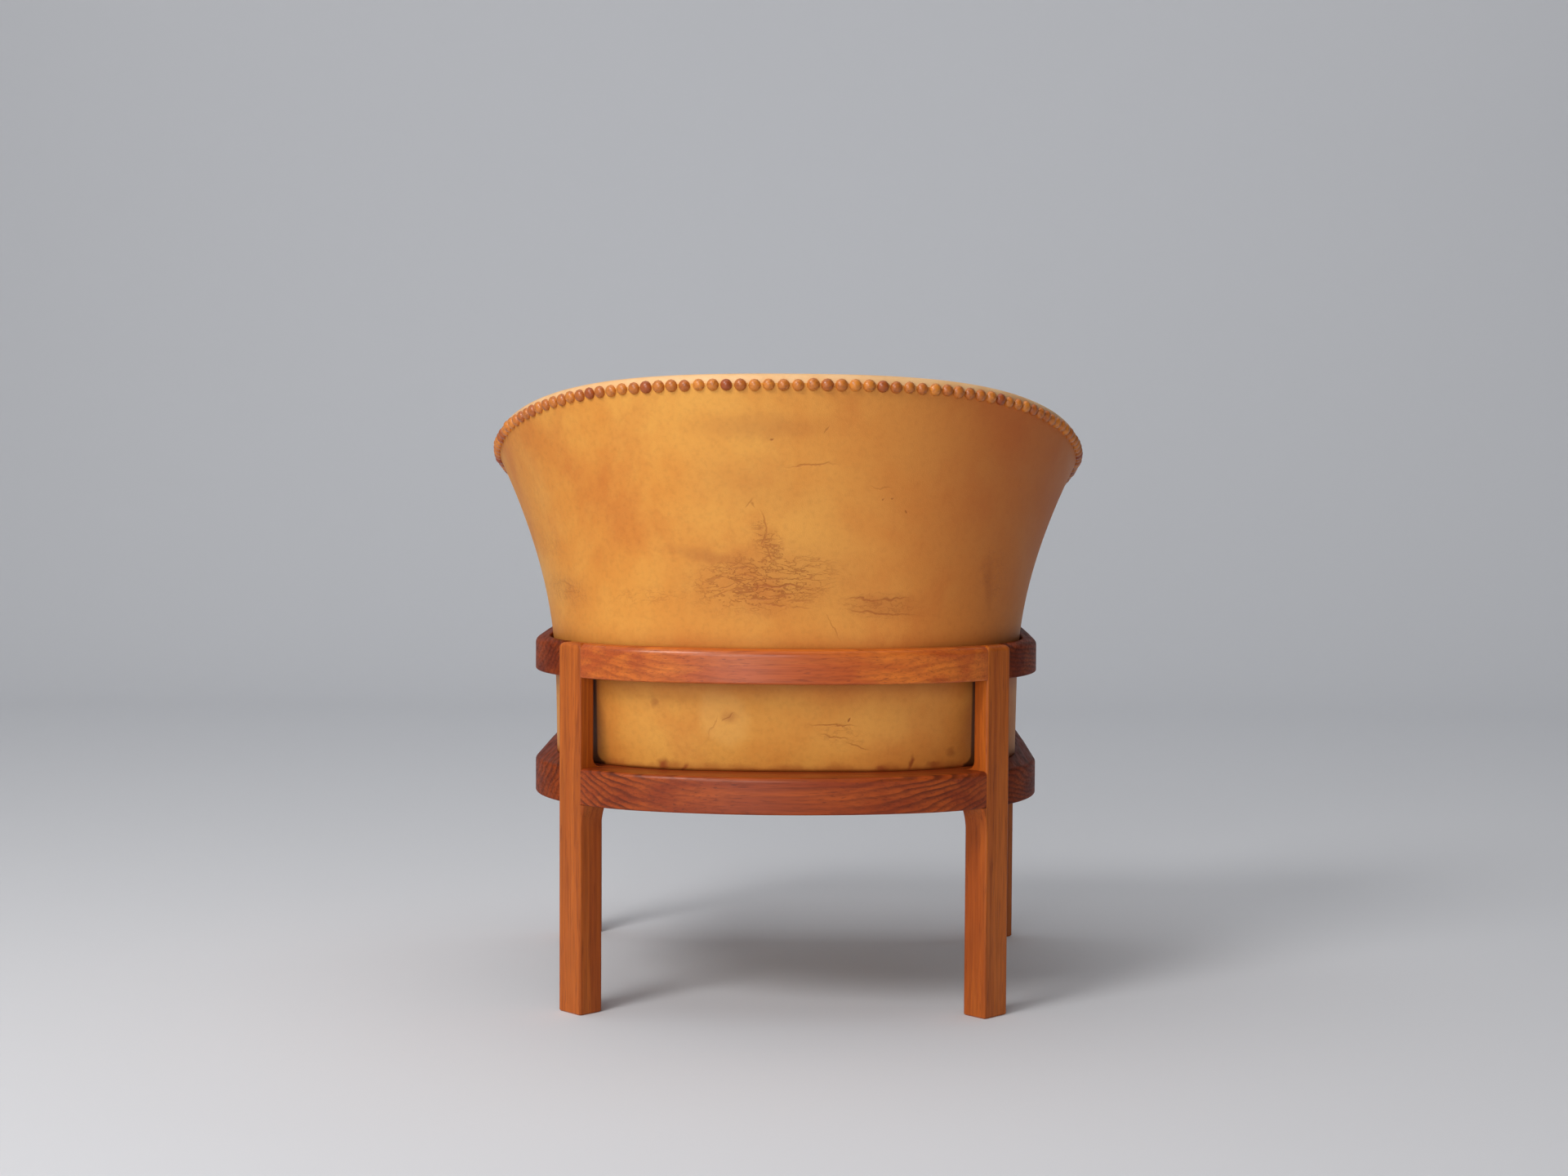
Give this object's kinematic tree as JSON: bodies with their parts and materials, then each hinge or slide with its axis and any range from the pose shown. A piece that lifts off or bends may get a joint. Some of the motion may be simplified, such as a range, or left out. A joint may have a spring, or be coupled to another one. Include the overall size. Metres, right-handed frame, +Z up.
{
  "type": "tub armchair",
  "caption": "Leather tub armchair: a flared, double-curved tub with a nailed rim on a timber frame of bowed rails and diagonal legs, with a webbed seat and a loose cushion",
  "frame": {"origin": "on the floor, in the middle of the chair's width and depth", "axes": "+X towards the sitter's left, +Y towards the back of the chair, +Z up; the open front faces -Y"},
  "size_m": [0.7084, 0.626, 0.722],
  "materials": {
    "timber": "oiled, worn satin",
    "hide": "waxed, worn natural hide",
    "hide_inside": "waxed natural hide",
    "plywood": "raw",
    "bearer_timber": "raw",
    "padding": "felted",
    "webbing": "woven jute",
    "hessian": "open weave"
  },
  "bodies": {
    "chair": {"rear_leg_left": "timber", "rear_leg_right": "timber", "front_leg_left": "timber", "front_leg_right": "timber", "rear_seat_rail": "timber", "front_seat_rail": "timber", "side_seat_rail_left": "timber", "side_seat_rail_right": "timber", "rear_arm_rail": "timber", "side_arm_rail_left": "timber", "side_arm_rail_right": "timber", "outside_leather": "hide", "tub_shell": "plywood", "inside_padding": "padding", "inside_leather": "hide_inside", "seat_frame_rear": "bearer_timber", "seat_frame_left": "bearer_timber", "seat_frame_right": "bearer_timber", "seat_frame_front": "bearer_timber", "seat_border_leather": "hide_inside", "cross_webbing_1": "webbing", "cross_webbing_2": "webbing", "cross_webbing_3": "webbing", "cross_webbing_4": "webbing", "cross_webbing_5": "webbing", "long_webbing_1": "webbing", "long_webbing_2": "webbing", "long_webbing_3": "webbing", "long_webbing_4": "webbing", "long_webbing_5": "webbing", "hessian": "hessian", "seat_pad": "padding"},
    "cushion": {"seat_cushion": "hide_inside"}
  },
  "joints": [
    {"name": "cushion_lift", "type": "slide", "parent": "chair", "child": "cushion", "axis": [0, 0, 1], "range_m": [0, 0.38]}
  ]
}
